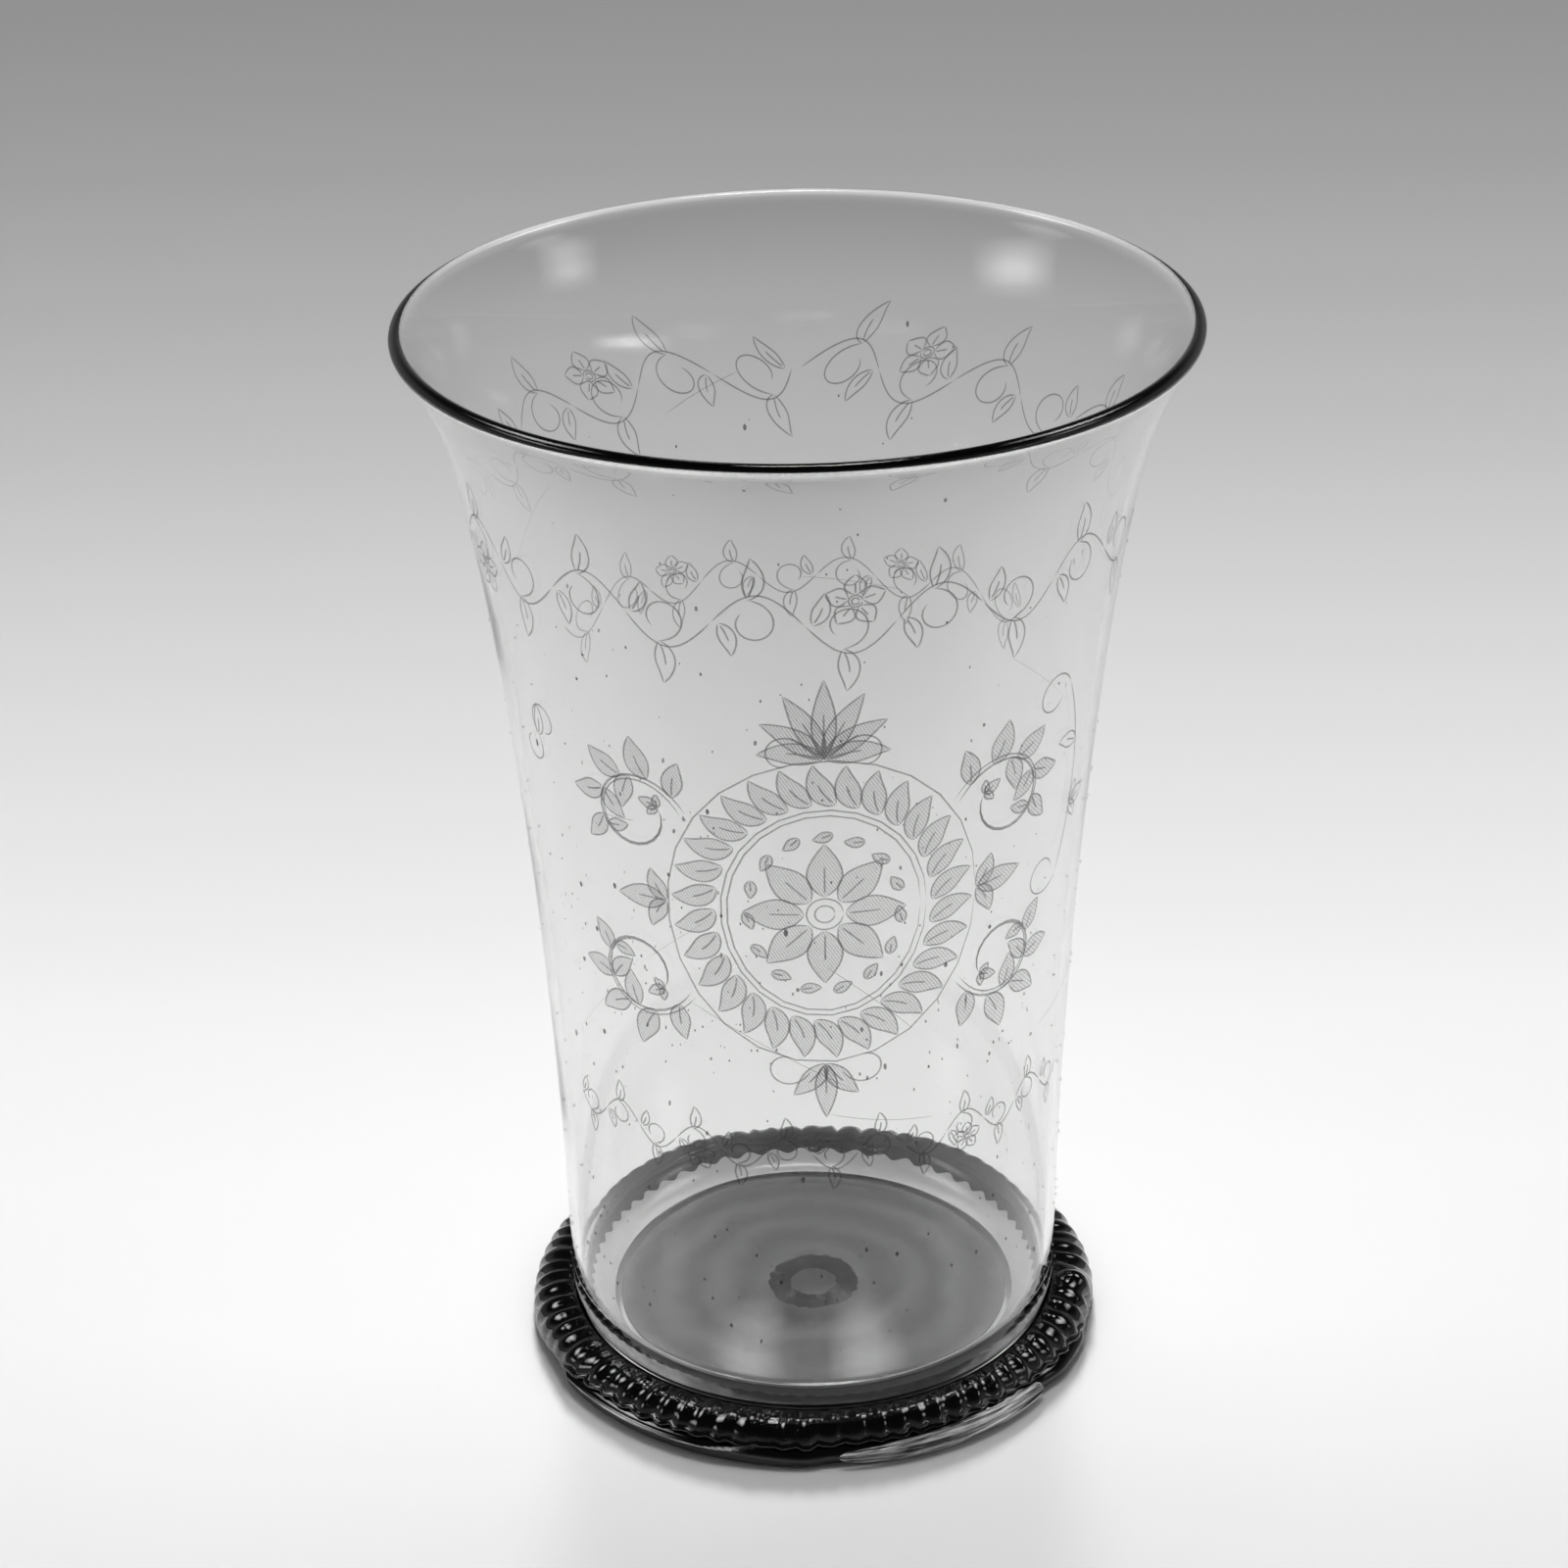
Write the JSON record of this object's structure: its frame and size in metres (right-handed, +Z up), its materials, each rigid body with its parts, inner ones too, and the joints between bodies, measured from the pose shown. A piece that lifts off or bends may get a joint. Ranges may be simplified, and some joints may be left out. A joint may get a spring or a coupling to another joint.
{
  "type": "drinking glass",
  "caption": "Tall conical blown beaker with a flared, fire-rounded lip, a pushed-up floor on a dark pad, and a wound dark foot ring whose upper trail is pressed into ribs.",
  "frame": {"origin": "on the table, under the middle of the lip, on the beaker's own axis", "axes": "+Z up along the beaker's axis; -Y is the front, which carries the central ornament; +X to the right"},
  "size_m": [0.1028, 0.1028, 0.15],
  "materials": {
    "clear_glass": "clear, slightly grey seedy blown glass, smooth and glossy",
    "dark_glass": "nearly black blown glass, smooth and glossy",
    "pad_glass": "grey translucent blown glass, glossy"
  },
  "bodies": {
    "root": {"bowl": "clear_glass", "base_pad": "pad_glass", "pontil_scar": "pad_glass", "foot_thread": "dark_glass", "ribbed_trail": "dark_glass", "thread_tail": "dark_glass"}
  },
  "joints": []
}
